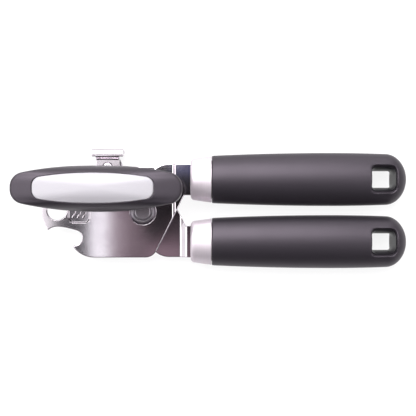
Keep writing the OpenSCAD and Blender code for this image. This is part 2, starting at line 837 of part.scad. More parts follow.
// Oval section of a handle of radius r, a little squarer than an ellipse
function oval(r) = [
    for (i = [0:35]) let (a = 10 * i, c = cos(a), d = sin(a))
        r * [
            sign(c) * pow(abs(c), 2 / oval_squareness),
            flatten * sign(d) * pow(abs(d), 2 / oval_squareness)
        ]
];

// A solid along a handle's axis: its half outline seen from above and, flattened,
// from the side, on an oval section
module along_handle(axis_y, x, points) {
    r = max([for (p = points) p.y]);
    start = points[0].x;
    end = points[len(points) - 1].x;
    below = [for (p = reverse(points)) if (p.y > thin) [p.x, -p.y]];
    outline = concat(points, below);
    place() translate([x, axis_y, mid_z]) intersection() {
        linear_extrude(height = 2 * r, center = true) polygon(outline);
        rotate([90, 0, 0])
            linear_extrude(height = 2 * r + over, center = true)
                polygon([for (p = outline) [p.x, p.y * flatten]]);
        translate([start - over, 0, 0])
            rotate([90, 0, 90])
                linear_extrude(height = end - start + 2 * over) polygon(oval(r));
    }
}

// The space that a tang takes up in its handle
module tang_slot(axis_y) {
    half = tang_w / 2 + seat_fit;
    end_x = tang_end_x + seat_fit;
    place() difference() {
        translate([0, axis_y, mid_z - plate_t / 2 - seat_fit])
            linear_extrude(height = plate_t + 2 * seat_fit)
                polygon([
                    [ferrule_x - over, -half], [end_x - tang_chamfer, -half],
                    [end_x, tang_chamfer - half], [end_x, half - tang_chamfer],
                    [end_x - tang_chamfer, half], [ferrule_x - over, half]
                ]);
        tang_holes(axis_y, tang_hole_d - 2 * seat_fit);
    }
}

// A hole through the handle that narrows from both faces to a waist
module hang_hole(axis_y) {
    reach = grip_t;
    flare = (hang_mouth_h - hang_waist_h) / 2 / pow(grip_t / 2, 2);
    side = [
        for (i = [-8:8]) let (z = reach * i / 8)
            [hang_waist_h / 2 + flare * z * z, z]
    ];
    other_side = [for (p = reverse(side)) [-p.x, p.y]];
    inner_l = hang_l - 2 * hang_r;
    inner_h = hang_mouth_h - 2 * hang_r;
    place() translate([handle_end_x - hang_from_end, axis_y, mid_z])
        intersection() {
            linear_extrude(height = 2 * reach, center = true) {
                square([inner_l, hang_mouth_h], center = true);
                square([hang_l, inner_h], center = true);
                for (x = [-inner_l / 2, inner_l / 2], y = [-inner_h / 2, inner_h / 2])
                    translate([x, y]) circle(r = hang_r);
            }
            rotate([90, 0, 90])
                linear_extrude(height = hang_l + over, center = true)
                    polygon(concat(side, other_side));
        }
}

// The core's stretch inside the grip, whose walls grow makes larger
module core_in_grip(axis_y, grow) {
    points = grip_points(grip_wall - grow);
    root = [-thin - seat_fit - grow * over, points[0].y];
    along_handle(axis_y, grip_x, concat([root], points));
}

module handle_core(axis_y) {
    color("#232025") difference() {
        union() {
            along_handle(axis_y, ferrule_x,
                ferrule_points(ferrule_wall + seat_fit, ferrule_l - seat_fit));
            core_in_grip(axis_y, 0);
        }
        tang_slot(axis_y);
        hang_hole(axis_y);
    }
}

module handle_grip(axis_y) {
    color("#4a474d") difference() {
        along_handle(axis_y, grip_x, grip_points(0));
        core_in_grip(axis_y, seat_fit);
        hang_hole(axis_y);
    }
}

module handle_ferrule(axis_y) {
    color("#d6d0d6") difference() {
        along_handle(axis_y, ferrule_x, ferrule_points(0, ferrule_l - seat_fit));
        along_handle(axis_y, ferrule_x, ferrule_points(ferrule_wall, ferrule_l + over));
        tang_slot(axis_y);
    }
}

module upper_core() { handle_core(upper_axis_y); }
module lower_core() { handle_core(-lower_axis_y); }
module upper_grip() { handle_grip(upper_axis_y); }
module lower_grip() { handle_grip(-lower_axis_y); }
module upper_ferrule() { handle_ferrule(upper_axis_y); }
module lower_ferrule() { handle_ferrule(-lower_axis_y); }

rear_plate();
pivot_rivet();
pivot_washer();
cutter_stud();
cutter_spacer();
cutter_washer();
lower_core();
lower_grip();
lower_ferrule();
front_plate();
shaft_bushing();
upper_core();
upper_grip();
upper_ferrule();
crank_shaft();
feed_wheel();
spring_washer();
thrust_washer();
knob_core();
knob_grip();
knob_badge();
knob_screw();
cutter_wheel();
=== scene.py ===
from math import atan2, cos, pi, radians, sin, sqrt

import bpy
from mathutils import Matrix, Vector


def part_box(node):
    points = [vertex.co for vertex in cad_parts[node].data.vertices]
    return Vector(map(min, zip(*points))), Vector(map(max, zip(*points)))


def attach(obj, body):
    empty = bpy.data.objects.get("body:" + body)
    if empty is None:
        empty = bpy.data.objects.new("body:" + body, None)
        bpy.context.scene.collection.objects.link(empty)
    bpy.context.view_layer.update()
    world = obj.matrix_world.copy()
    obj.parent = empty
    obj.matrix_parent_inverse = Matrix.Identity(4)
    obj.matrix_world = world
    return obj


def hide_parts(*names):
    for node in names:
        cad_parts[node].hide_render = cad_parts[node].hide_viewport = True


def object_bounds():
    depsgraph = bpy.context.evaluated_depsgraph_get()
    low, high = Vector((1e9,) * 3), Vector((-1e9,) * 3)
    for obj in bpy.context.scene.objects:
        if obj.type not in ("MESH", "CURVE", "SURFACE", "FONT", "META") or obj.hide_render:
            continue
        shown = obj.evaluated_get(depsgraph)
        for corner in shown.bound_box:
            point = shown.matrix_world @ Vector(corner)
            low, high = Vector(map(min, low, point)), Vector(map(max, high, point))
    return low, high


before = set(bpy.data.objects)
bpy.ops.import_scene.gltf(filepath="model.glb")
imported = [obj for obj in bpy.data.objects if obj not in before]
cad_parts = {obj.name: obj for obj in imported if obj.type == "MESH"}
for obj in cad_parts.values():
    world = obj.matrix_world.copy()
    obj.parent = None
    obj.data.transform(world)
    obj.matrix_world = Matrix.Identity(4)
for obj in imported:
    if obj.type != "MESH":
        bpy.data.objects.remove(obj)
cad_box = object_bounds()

# === Stamped plates ===========================================================
# Two plates of 2 mm stainless, blanked, joggled and pressed, then polished
# along their length. Their sheared edges are tumbled round, so they catch the
# light as thin bright lines. The tangs run on inside the handles.

MM = 0.001
PLATE_EDGE = 0.55 * MM
RIB = Vector((1.2, 5.0, 1.5)) * MM
RIB_ROUND = 0.56 * MM
RIB_PITCH = 2.9 * MM
RIB_LEAN = radians(24)
POCKET_CORNER = Vector((41.0, 6.0, 0)) * MM
POCKET_SIZE = Vector((11.6, 9.0, 0)) * MM
POCKET_DEPTH = 1.2 * MM


def deselect():
    if bpy.context.object and bpy.context.object.mode != "OBJECT":
        bpy.ops.object.mode_set(mode="OBJECT")
    bpy.ops.object.select_all(action="DESELECT")


def take_up(piece):
    """Selects one piece, and nothing else, for the operators that follow."""
    deselect()
    piece.select_set(True)
    bpy.context.view_layer.objects.active = piece


def middle_of(node):
    low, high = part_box(node)
    return (low + high) / 2


def size_of(node):
    low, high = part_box(node)
    return high - low


def copy_of(node, name):
    """A copy of a CAD piece as one closed mesh with whole flat faces."""
    take_up(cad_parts[node])
    bpy.ops.object.duplicate()
    piece = bpy.context.object
    for key in list(piece.keys()):
        del piece[key]
    piece.parent = None
    piece.name = name
    piece.data.materials.clear()
    bpy.ops.object.mode_set(mode="EDIT")
    bpy.ops.mesh.select_all(action="SELECT")
    bpy.ops.mesh.remove_doubles(threshold=0.002 * MM)
    bpy.ops.mesh.dissolve_limited(angle_limit=radians(0.5))
    bpy.ops.object.mode_set(mode="OBJECT")
    return piece


def apply_modifier(piece, name, kind, **settings):
    take_up(piece)
    modifier = piece.modifiers.new(name, kind)
    for setting, value in settings.items():
        setattr(modifier, setting, value)
    bpy.ops.object.modifier_apply(modifier=modifier.name)


def smooth(piece, sharp_angle=35):
    take_up(piece)
    bpy.ops.object.shade_smooth_by_angle(angle=radians(sharp_angle))


def round_edges(piece, width, segments=3, sharp_angle=28, clamp=True):
    """Rounds every edge that is sharper than an angle, as tumbling does."""
    apply_modifier(piece, "edge round", "BEVEL", width=width, segments=segments,
                   limit_method="ANGLE", angle_limit=radians(sharp_angle),
                   use_clamp_overlap=clamp)
    smooth(piece)
    apply_modifier(piece, "flat faces", "WEIGHTED_NORMAL", weight=60, keep_sharp=True)


def srgb(hex_colour):
    """An sRGB hex colour as the linear RGBA that shaders take."""
    shares = [int(hex_colour[i:i + 2], 16) / 255 for i in (1, 3, 5)]
    linear = [c / 12.92 if c <= 0.04045 else ((c + 0.055) / 1.055) ** 2.4 for c in shares]
    return (*linear, 1.0)


def add_node(tree, kind, inputs, **settings):
    """Adds a node with its settings; an input is a value or another node's output."""
    node = tree.nodes.new("ShaderNode" + kind)
    for name, value in settings.items():
        setattr(node, name, value)
    for name, value in inputs.items():
        if isinstance(value, bpy.types.NodeSocket):
            tree.links.new(value, node.inputs[name])
        else:
            node.inputs[name].default_value = value
    return node


def new_finish(name, **constants):
    """A material with its shader's constants set, and its Object coordinates."""
    finish = bpy.data.materials.new(name)
    finish.use_nodes = True
    tree = finish.node_tree
    shader = tree.nodes["Principled BSDF"]
    for socket, value in constants.items():
        shader.inputs[socket.replace("_", " ")].default_value = value
    place = add_node(tree, "TexCoord", {}).outputs["Object"]
    return finish, tree, shader, place


def blend_colours(tree, share, first, second):
    return add_node(tree, "Mix", {0: share, 6: srgb(first), 7: srgb(second)},
                    data_type="RGBA").outputs[2]


def spread(tree, value, low, high):
    """A pattern's 0 to 1 taken to the range low to high."""
    return add_node(tree, "MapRange", {"Value": value, "To Min": low, "To Max": high}).outputs[0]


def polished_stainless():
    """304 stainless polished along its length: close to a mirror, with fine
    lines that pull each reflection out across them, and faint cloudy patches."""
    finish, tree, shader, place = new_finish("polished stamped stainless", Metallic=1.0)
    line_l, line_w = 16 * MM, 0.3 * MM
    stretch = add_node(tree, "Mapping", {
        "Vector": place, "Scale": (1 / line_l, 1 / line_w, 1 / line_w)}).outputs[0]
    lines = add_node(tree, "TexNoise", {
        "Vector": stretch, "Scale": 1.0, "Detail": 3.0, "Roughness": 0.6}).outputs[0]
    clouds = add_node(tree, "TexNoise", {
        "Vector": place, "Scale": 1 / (9 * MM), "Detail": 2.0}).outputs[0]
    tree.links.new(blend_colours(tree, clouds, "#d3cdd2", "#bdb5bd"), shader.inputs["Base Color"])
    tree.links.new(spread(tree, lines, 0.06, 0.11), shader.inputs["Roughness"])
    bump = add_node(tree, "Bump", {
        "Strength": 0.1, "Distance": 0.02 * MM, "Height": lines})
    tree.links.new(bump.outputs[0], shader.inputs["Normal"])
    return finish


def hand_over(piece, finish, body, slot, *stands_for):
    """Gives a finished piece its material and its body, and hides the CAD nodes it stands for. The
    slot argument is not used.
    """
    piece.data.materials.clear()
    piece.data.materials.append(finish)
    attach(piece, body)
    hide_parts(*stands_for)


stainless = polished_stainless()
pivot = middle_of("pivot_rivet")

front_plate = copy_of("front_plate", "front_plate_polished")
plate_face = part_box("front_plate")[1].z
pocket_middle = Vector((pivot.x, pivot.y, 0)) - POCKET_CORNER + POCKET_SIZE / 2
pocket_floor = plate_face - POCKET_DEPTH

round_edges(front_plate, PLATE_EDGE, segments=4, clamp=False)
# Three raised ribs slant across the floor of the sunk pocket
for step in (-1, 0, 1):
    deselect()
    rib_at = pocket_middle + Vector((step * RIB_PITCH, 0, pocket_floor))
    bpy.ops.mesh.primitive_cube_add(
        size=1, location=rib_at, rotation=(0, 0, -RIB_LEAN), scale=RIB)
    rib = bpy.context.object
    bpy.ops.object.transform_apply(location=True, rotation=True, scale=True)
    apply_modifier(rib, "pressed round", "BEVEL", width=RIB_ROUND, segments=5)
    smooth(rib, 60)
    rib.select_set(True)
    front_plate.select_set(True)
    bpy.context.view_layer.objects.active = front_plate
    bpy.ops.object.join()
hand_over(front_plate, stainless, "upper_arm", "stainless", "front_plate")

rear_plate = copy_of("rear_plate", "rear_plate_polished")
round_edges(rear_plate, PLATE_EDGE, segments=4, clamp=False)
hand_over(rear_plate, stainless, "lower_arm", "stainless", "rear_plate")

# === Pivot rivet and its washer ===============================================
# A stepped rivet of soft steel, headed over the rear plate in a press, with a
# spun groove round the raised middle of its front head. A white nylon washer
# keeps the two plates apart.

RIVET_EDGE = 0.25 * MM
WASHER_EDGE = 0.15 * MM


def draw_out(name, start, stations, along=(0, 0, 1), squash=1.0, sides=96, ends="both"):
    """Extrudes a ring from station to station, each a (distance, radius) from
    start. Both ends are closed, or only the last, or the last ring is the first."""
    deselect()
    along = Vector(along)
    lengthwise = abs(along.x) > 0
    distance, radius = stations[0]
    bpy.ops.mesh.primitive_circle_add(
        vertices=sides, radius=radius, fill_type="NGON" if ends == "both" else "NOTHING",
        location=start + along * distance, rotation=(0, pi / 2 if lengthwise else 0, 0))
    piece = bpy.context.object
    piece.name = name
    bpy.ops.object.transform_apply(location=True, rotation=True, scale=True)
    bpy.ops.object.mode_set(mode="EDIT")
    bpy.ops.transform.resize(value=(1, 1, squash), center_override=start + along * distance)
    for (before, r0), (after, r1) in zip(stations, stations[1:]):
        bpy.ops.mesh.extrude_region_move(
            TRANSFORM_OT_translate={"value": along * (after - before)})
        grow = r1 / r0
        bpy.ops.transform.resize(
            value=(1, grow, grow) if lengthwise else (grow, grow, 1),
            center_override=start + along * after)
    if ends == "last":
        bpy.ops.mesh.edge_face_add()
    bpy.ops.mesh.select_all(action="SELECT")
    bpy.ops.mesh.remove_doubles(threshold=0.001 * MM)
    bpy.ops.mesh.normals_make_consistent(inside=False)
    bpy.ops.object.mode_set(mode="OBJECT")
    return piece


def tumbled_steel():
    """Zinc-bright steel tumbled with its neighbours: soft grey with a fine
    pebbled surface that breaks up what it reflects."""
    finish, tree, shader, place = new_finish("tumbled rivet steel", Metallic=1.0)
    pebbles = add_node(tree, "TexNoise", {
        "Vector": place, "Scale": 1 / (0.45 * MM), "Detail": 3.0}).outputs[0]
    tree.links.new(blend_colours(tree, pebbles, "#a7a1a8", "#878188"), shader.inputs["Base Color"])
    tree.links.new(spread(tree, pebbles, 0.24, 0.4), shader.inputs["Roughness"])
    bump = add_node(tree, "Bump", {
        "Strength": 0.25, "Distance": 0.02 * MM, "Height": pebbles})
    tree.links.new(bump.outputs[0], shader.inputs["Normal"])
    return finish


def white_acetal():
    """Natural acetal, moulded: milky, slightly waxy, with a faint mould grain."""
    finish, tree, shader, place = new_finish(
        "moulded natural acetal", Subsurface_Weight=0.15, Subsurface_Scale=0.5 * MM)
    grain = add_node(tree, "TexNoise", {"Vector": place, "Scale": 1 / (0.3 * MM)}).outputs[0]
    tree.links.new(blend_colours(tree, grain, "#e9e7df", "#dedbd1"), shader.inputs["Base Color"])
    tree.links.new(spread(tree, grain, 0.34, 0.46), shader.inputs["Roughness"])
    return finish


rivet_steel = tumbled_steel()
acetal = white_acetal()

rivet = copy_of("pivot_rivet", "pivot_rivet_headed")
round_edges(rivet, RIVET_EDGE, sharp_angle=20)
hand_over(rivet, rivet_steel, "lower_arm", "rivet_steel", "pivot_rivet")

pivot_washer = copy_of("pivot_washer", "pivot_washer_moulded")
round_edges(pivot_washer, WASHER_EDGE)
hand_over(pivot_washer, acetal, "lower_arm", "washer_nylon", "pivot_washer")

# === Cutter ===================================================================
# A hardened wheel with a ground bevel, turning on a riveted stud behind the
# guard. A spacer and a thin washer hold it clear of the plate and the head.

# Real turning marks are finer: these are as coarse as they need to be to show
RING_PITCH = 1.382 * MM
WAVE_PERIOD = 2 * pi / 20        # of Blender's wave texture at a scale of 1


def turned_steel(name, axis, pale, deep, low, high):
    """Hardened steel ground or turned about an axis: fine rings round it."""
    finish, tree, shader, place = new_finish(name, Metallic=1.0)
    centred = add_node(tree, "Mapping", {
        "Vector": place, "Location": (-axis.x, -axis.y, 0)}).outputs[0]
    rings = add_node(tree, "TexWave", {
        "Vector": centred, "Scale": WAVE_PERIOD / RING_PITCH, "Distortion": 0.6,
        "Detail": 2.0, "Detail Scale": 6.0},
        wave_type="RINGS", rings_direction="Z").outputs[1]
    mottle = add_node(tree, "TexNoise", {"Vector": place, "Scale": 1 / (2.5 * MM)}).outputs[0]
    tree.links.new(blend_colours(tree, mottle, pale, deep), shader.inputs["Base Color"])
    tree.links.new(spread(tree, rings, low, high), shader.inputs["Roughness"])
    bump = add_node(tree, "Bump", {
        "Strength": 0.3, "Distance": 0.01 * MM, "Height": rings})
    tree.links.new(bump.outputs[0], shader.inputs["Normal"])
    return finish


ground_steel = turned_steel(
    "ground hardened steel", middle_of("cutter_wheel"), "#cdcace", "#a9a6ab", 0.16, 0.3)
# Each piece, its body, and how far its edges are rounded, in mm
for node, body, edge in (
        ("cutter_stud", "lower_arm", 0.2), ("cutter_spacer", "lower_arm", 0.15),
        ("cutter_washer", "lower_arm", 0.08), ("cutter_wheel", "cutter", 0.05)):
    piece = copy_of(node, node + "_ground")
    round_edges(piece, edge * MM, segments=2, sharp_angle=22)
    hand_over(piece, ground_steel, body, "hardened_steel", node)

# === Crank shaft, bushing, feed wheel and washers =============================
# The shaft turns in a sintered bronze bushing pressed into the front plate. Its
# square end drives a hobbed feed wheel and is riveted over; a dished spring
# washer and a plastic one take up the play under the knob.

BUSHING_EDGE = 0.25 * MM


def sintered_bronze():
    """Oil-filled sintered bronze: dull gold with open pores between grains."""
    finish, tree, shader, place = new_finish("sintered bronze", Metallic=1.0)
    grains = add_node(tree, "TexVoronoi", {"Vector": place, "Scale": 1 / (0.28 * MM)}).outputs[0]
    tree.links.new(blend_colours(tree, grains, "#5a4a38", "#85725a"), shader.inputs["Base Color"])
    tree.links.new(spread(tree, grains, 0.38, 0.58), shader.inputs["Roughness"])
    bump = add_node(tree, "Bump", {
        "Strength": 0.4, "Distance": 0.03 * MM, "Height": grains})
    tree.links.new(bump.outputs[0], shader.inputs["Normal"])
    return finish


bronze = sintered_bronze()
crank_steel = turned_steel(
    "turned crank steel", middle_of("crank_shaft"), "#b8b5ba", "#8f8c92", 0.2, 0.36)

bushing = copy_of("shaft_bushing", "shaft_bushing_sintered")
round_edges(bushing, BUSHING_EDGE)
hand_over(bushing, bronze, "upper_arm", "bearing_bronze", "shaft_bushing")

for node, edge in (("crank_shaft", 0.2), ("feed_wheel", 0.15), ("spring_washer", 0.1)):
    piece = copy_of(node, node + "_machined")
    round_edges(piece, edge * MM, segments=2)
    hand_over(piece, crank_steel, "crank", "hardened_steel", node)

thrust_washer = copy_of("thrust_washer", "thrust_washer_moulded")
round_edges(thrust_washer, WASHER_EDGE)
hand_over(thrust_washer, acetal, "crank", "washer_nylon", "thrust_washer")

# === Handle cores =============================================================
# Glass-filled nylon moulded round each tang. The core fills the ferrule and
# the grip, and shows again as a hard lip inside the hang hole.

FERRULE_L = 11.5 * MM
FERRULE_FRONT_R = 23.1 / 2 * MM
FERRULE_BACK_R = 25.6 / 2 * MM
FERRULE_EDGE_R = 2.4 * MM
FERRULE_WALL = 0.9 * MM
GRIP_START_R = 26.3 / 2 * MM
GRIP_CAP_R = 28.2 / 2 * MM
GRIP_BELLY_S = 66 * MM
GRIP_CAP_L = 11 * MM
GRIP_WALL = 2.6 * MM
HANG_SIZE = Vector((13.2, 18.0)) * MM
HANG_WAIST = 9.1 * MM
HANG_CORNER = 3 * MM
HANG_CORNER_SHARE = 0.6          # of the hole's half height, at most
HANG_OVERRUN = 1.25              # the cutting plug's length over the handle's
HANG_FROM_END = 13.8 * MM
SNUG = 0.05 * MM
TANG_SLOT = Vector((0, 17.6, 2.1)) * MM
SLOT_LEAD = 2 * MM
CORE_EDGE = 0.3 * MM

grip_size = size_of("upper_grip")
grip_l, belly_r = grip_size.x, grip_size.y / 2
handle_squash = grip_size.z / grip_size.y
cap_s = grip_l - GRIP_CAP_L


def ferrule_outline(inset):
    """Half outline of a ferrule from its rolled front edge, as (s, radius)."""
    edge = FERRULE_EDGE_R - inset
    roll = [(FERRULE_EDGE_R - edge * cos(a * pi / 16),
             FERRULE_FRONT_R - FERRULE_EDGE_R + edge * sin(a * pi / 16)) for a in range(9)]
    body_l = FERRULE_L - SNUG - FERRULE_EDGE_R
    taper = FERRULE_BACK_R - FERRULE_FRONT_R
    return roll + [(FERRULE_EDGE_R + body_l * i / 6, FERRULE_FRONT_R - inset + taper * i / 6)
                   for i in range(1, 7)]


def grip_radius(s):
    if s < GRIP_BELLY_S:
        return belly_r - (belly_r - GRIP_START_R) * (1 - s / GRIP_BELLY_S) ** 2
    fall = (s - GRIP_BELLY_S) / (cap_s - GRIP_BELLY_S)
    return belly_r - (belly_r - GRIP_CAP_R) * fall ** 2


def grip_outline(inset):
    """Half outline of a grip from its open end to its rounded cap."""
    skin = [(cap_s * i / 24, grip_radius(cap_s * i / 24) - inset) for i in range(25)]
    cap = []
    for a in range(1, 18):
        s = cap_s + (GRIP_CAP_L - inset) * sin(a * pi / 36)
        cap.append((s, (grip_radius(s) - inset) * cos(a * pi / 36)))
    return skin + cap


def moulded_nylon():
    """Black glass-filled nylon: satin, with a spark-eroded mould grain."""
    finish, tree, shader, place = new_finish("moulded black nylon", Specular_IOR_Level=0.25)
    grain = add_node(tree, "TexNoise", {
        "Vector": place, "Scale": 1 / (0.25 * MM), "Detail": 2.0}).outputs[0]
    tree.links.new(blend_colours(tree, grain, "#1a171c", "#121014"), shader.inputs["Base Color"])
    tree.links.new(spread(tree, grain, 0.32, 0.44), shader.inputs["Roughness"])
    bump = add_node(tree, "Bump", {
        "Strength": 0.2, "Distance": 0.03 * MM, "Height": grain})
    tree.links.new(bump.outputs[0], shader.inputs["Normal"])
    return finish


def rounded_rectangle(length, height, corner, steps=8):
    """Points round a rectangle with round corners, as (x, y)."""
    points = []
    for quarter, (sx, sy) in enumerate(((1, 1), (-1, 1), (-1, -1), (1, -1))):
        centre = Vector((sx * (length / 2 - corner), sy * (height / 2 - corner)))
        for i in range(steps + 1):
            a = (quarter + i / steps) * pi / 2
            points.append(centre + corner * Vector((cos(a), sin(a))))
    return points


def wrapped_sheet(name, rings):
    """A sheet whose rows lie on closed rings of points, one ring after another."""
    rows, columns = len(rings), len(rings[0])
    deselect()
    bpy.ops.mesh.primitive_grid_add(x_subdivisions=columns, y_subdivisions=rows - 1, size=1)
    piece = bpy.context.object
    piece.name = name
    for vertex in piece.data.vertices:
        row = round((vertex.co.y + 0.5) * (rows - 1))
        column = round((vertex.co.x + 0.5) * columns) % columns
        vertex.co = rings[row][column]
    bpy.ops.object.mode_set(mode="EDIT")
    bpy.ops.mesh.select_all(action="SELECT")
    bpy.ops.mesh.remove_doubles(threshold=0.001 * MM)
    bpy.ops.mesh.dissolve_degenerate(threshold=0.0005 * MM)
    bpy.ops.mesh.normals_make_consistent(inside=False)
    bpy.ops.object.mode_set(mode="OBJECT")
    return piece


def cut_hang_hole(piece, at, grow):
    """Cuts the hole that flares from its waist towards both faces of the handle."""
    reach = grip_size.z / 2
    flare = (HANG_SIZE.y - HANG_WAIST) / 2 / reach ** 2
    rings = []
    for i in range(-8, 9):
        z = HANG_OVERRUN * reach * i / 8
        half_h = HANG_WAIST / 2 + flare * z * z + grow
        corner = min(HANG_CORNER, half_h * HANG_CORNER_SHARE)
        rings.append([Vector((at.x + x, at.y + y, at.z + z)) for x, y in rounded_rectangle(
            HANG_SIZE.x + 2 * grow, 2 * half_h, corner)])
    ends = [[Vector((at.x, at.y, ring[0].z))] * len(ring) for ring in (rings[0], rings[-1])]
    plug = wrapped_sheet("plug", [ends[0]] + rings + [ends[1]])
    apply_modifier(piece, "hang hole", "BOOLEAN", object=plug, solver="EXACT")
    bpy.data.objects.remove(plug)


def cut_tang_slot(piece, face, tang_end):
    """Cuts the slot that a tang lies in, from before the piece's face."""
    length = tang_end.x - face.x + SLOT_LEAD
    deselect()
    bpy.ops.mesh.primitive_cube_add(
        size=1, location=face + Vector((length / 2 - SLOT_LEAD, 0, 0)),
        scale=Vector((length, TANG_SLOT.y, TANG_SLOT.z)))
    slot = bpy.context.object
    bpy.ops.object.transform_apply(location=True, rotation=True, scale=True)
    apply_modifier(piece, "tang slot", "BOOLEAN", object=slot, solver="EXACT")
    bpy.data.objects.remove(slot)


nylon = moulded_nylon()
arms = (("upper", "upper_arm", "front_plate"), ("lower", "lower_arm", "rear_plate"))
for side, body, plate in arms:
    low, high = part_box(side + "_ferrule")
    face = Vector((low.x, (low.y + high.y) / 2, (low.z + high.z) / 2))
    inside = grip_outline(GRIP_WALL)
    step = high.x + SNUG - low.x
    outline = ferrule_outline(FERRULE_WALL + SNUG) + [(step + s, r) for s, r in inside]
    core = draw_out(side + "_core_moulded", face, outline, along=(1, 0, 0),
                    squash=handle_squash, sides=96)
    cut_tang_slot(core, face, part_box(plate)[1])
    hole_at = Vector((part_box(side + "_grip")[1].x - HANG_FROM_END, face.y, face.z))
    cut_hang_hole(core, hole_at, 0)
    round_edges(core, CORE_EDGE, segments=2, sharp_angle=40)
    hand_over(core, nylon, body, "hard_nylon", side + "_core")

# === Ferrules =================================================================
# A collar of drawn stainless slipped over each core, its front edge rolled
# round a wide radius and slotted for the tang. It is satin finished round and
# round, so it shades softly from its lit side to its far side.

SLOT_EDGE = 0.18 * MM


def satin_collar():
    """Stainless brushed with a nylon wheel while it turned: pale and silky."""
    finish, tree, shader, place = new_finish("satin brushed collar", Metallic=0.7)
    line_w, line_l = 0.18 * MM, 9 * MM
    stretch = add_node(tree, "Mapping", {
        "Vector": place, "Scale": (1 / line_w, 1 / line_l, 1 / line_l)}).outputs[0]
    lines = add_node(tree, "TexNoise", {
        "Vector": stretch, "Scale": 1.0, "Detail": 2.0}).outputs[0]
    tree.links.new(blend_colours(tree, lines, "#cfc6ce", "#bdb3bb"), shader.inputs["Base Color"])
    tree.links.new(spread(tree, lines, 0.44, 0.54), shader.inputs["Roughness"])
    bump = add_node(tree, "Bump", {
        "Strength": 0.15, "Distance": 0.02 * MM, "Height": lines})
    tree.links.new(bump.outputs[0], shader.inputs["Normal"])
    return finish


collar_finish = satin_collar()
for side, body, plate in arms:
    low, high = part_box(side + "_ferrule")
    face = Vector((low.x, (low.y + high.y) / 2, (low.z + high.z) / 2))
    from_back = [(FERRULE_L - SNUG - s, r) for s, r in reversed(ferrule_outline(0))]
    back = Vector((low.x + FERRULE_L - SNUG, face.y, face.z))
    ferrule = draw_out(side + "_ferrule_drawn", back, from_back, along=(-1, 0, 0),
                       squash=handle_squash, sides=128, ends="last")
    apply_modifier(ferrule, "wall", "SOLIDIFY", thickness=FERRULE_WALL, offset=-1)
    cut_tang_slot(ferrule, face, back)
    round_edges(ferrule, SLOT_EDGE, segments=2, sharp_angle=40)
    hand_over(ferrule, collar_finish, body, "satin_collar", side + "_ferrule")

# === Grips ====================================================================
# A soft thermoplastic rubber moulded over each core: a fine matt grain, fuller
# in the middle, with a rounded end and a hang hole that narrows to a waist.

GRIP_LIP_R = 0.7 * MM
HANG_GROW = 0.3 * MM
SKIN_GRAIN = 0.46 * MM


def soft_touch_rubber():
    """Charcoal thermoplastic rubber with a fine matt grain. The grain scatters
    light at a glance, so the rubber turns paler towards its lit edges."""
    finish, tree, shader, place = new_finish(
        "soft touch charcoal rubber", Sheen_Weight=0.05, Sheen_Roughness=0.4,
        Sheen_Tint=srgb("#e0d6e4"), Specular_Tint=srgb("#fdeeff"))
    grain = add_node(tree, "TexNoise", {
        "Vector": place, "Scale": 1 / (0.22 * MM), "Detail": 3.0, "Roughness": 0.6}).outputs[0]
    handling = add_node(tree, "TexNoise", {
        "Vector": place, "Scale": 1 / (16 * MM), "Detail": 3.0}).outputs[0]
    tree.links.new(blend_colours(tree, handling, "#1c191e", "#161418"), shader.inputs["Base Color"])
    tree.links.new(spread(tree, handling, 0.43, 0.50), shader.inputs["Roughness"])
    bump = add_node(tree, "Bump", {
        "Strength": 0.35, "Distance": 0.03 * MM, "Height": grain})
    tree.links.new(bump.outputs[0], shader.inputs["Normal"])
    return finish


rubber = soft_touch_rubber()
for side, body, plate in arms:
    low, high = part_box(side + "_grip")
    start = Vector((low.x, (low.y + high.y) / 2, (low.z + high.z) / 2))
    lip = [(GRIP_LIP_R * (1 - cos(a * pi / 8)),
            grip_radius(0) - GRIP_LIP_R * (1 - sin(a * pi / 8))) for a in range(5)]
    skin = [(s, r) for s, r in grip_outline(0) if s > GRIP_LIP_R]
    grip = draw_out(side + "_grip_rubber", start, lip + skin, along=(1, 0, 0),
                    squash=handle_squash, sides=96, ends="last")
    apply_modifier(grip, "wall", "SOLIDIFY", thickness=GRIP_WALL - SNUG, offset=-1)
    cut_hang_hole(grip, Vector((high.x - HANG_FROM_END, start.y, start.z)), HANG_GROW)
    apply_modifier(grip, "moulded skin", "REMESH", mode="VOXEL", voxel_size=SKIN_GRAIN)
    apply_modifier(grip, "soft edges", "SMOOTH", factor=0.5, iterations=6)
    smooth(grip, 60)
    hand_over(grip, rubber, body, "soft_touch", side + "_grip")

# === Knob base ================================================================
# The knob's hard half: a nylon hub and a lens-shaped base, moulded in one, that
# shows as a thin band under the rubber.

KNOB_BASE_EDGE = 0.45 * MM

knob_base = copy_of("knob_core", "knob_base_moulded")
round_edges(knob_base, KNOB_BASE_EDGE, sharp_angle=40)
hand_over(knob_base, nylon, "crank", "hard_nylon", "knob_core")

# === Knob shell ===============================================================
# The same soft rubber moulded over the base: a crowned lens with a window for
# the badge. Its rim is rolled tight at the ends and full along the sides.

KNOB_SIDE_R = 175 * MM
KNOB_END_R = 7.5 * MM
KNOB_WALL = 2.4 * MM
KNOB_SAG = 3.5 * MM
FULLNESS = 3                     # 2 would make the knob's cross-section round
KNOB_CREST_SOFT = 1.6 * MM
KNOB_RIM_R = 1.6 * MM
WINDOW_RIM_R = 0.5 * MM
BADGE_END_R = 4.6 * MM
BADGE_SINK = 0.2 * MM
KNOB_RISE = 20 * MM

knob_low, knob_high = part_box("knob_grip")
knob_at = (knob_low + knob_high) / 2
knob_l, knob_h = knob_high.x - knob_low.x, knob_high.y - knob_low.y
knob_foot_z = knob_low.z
badge_l, badge_h = size_of("knob_badge").x, size_of("knob_badge").y
badge_low_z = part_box("knob_badge")[0].z
badge_shift = Vector((middle_of("knob_badge").x - knob_at.x, 0))


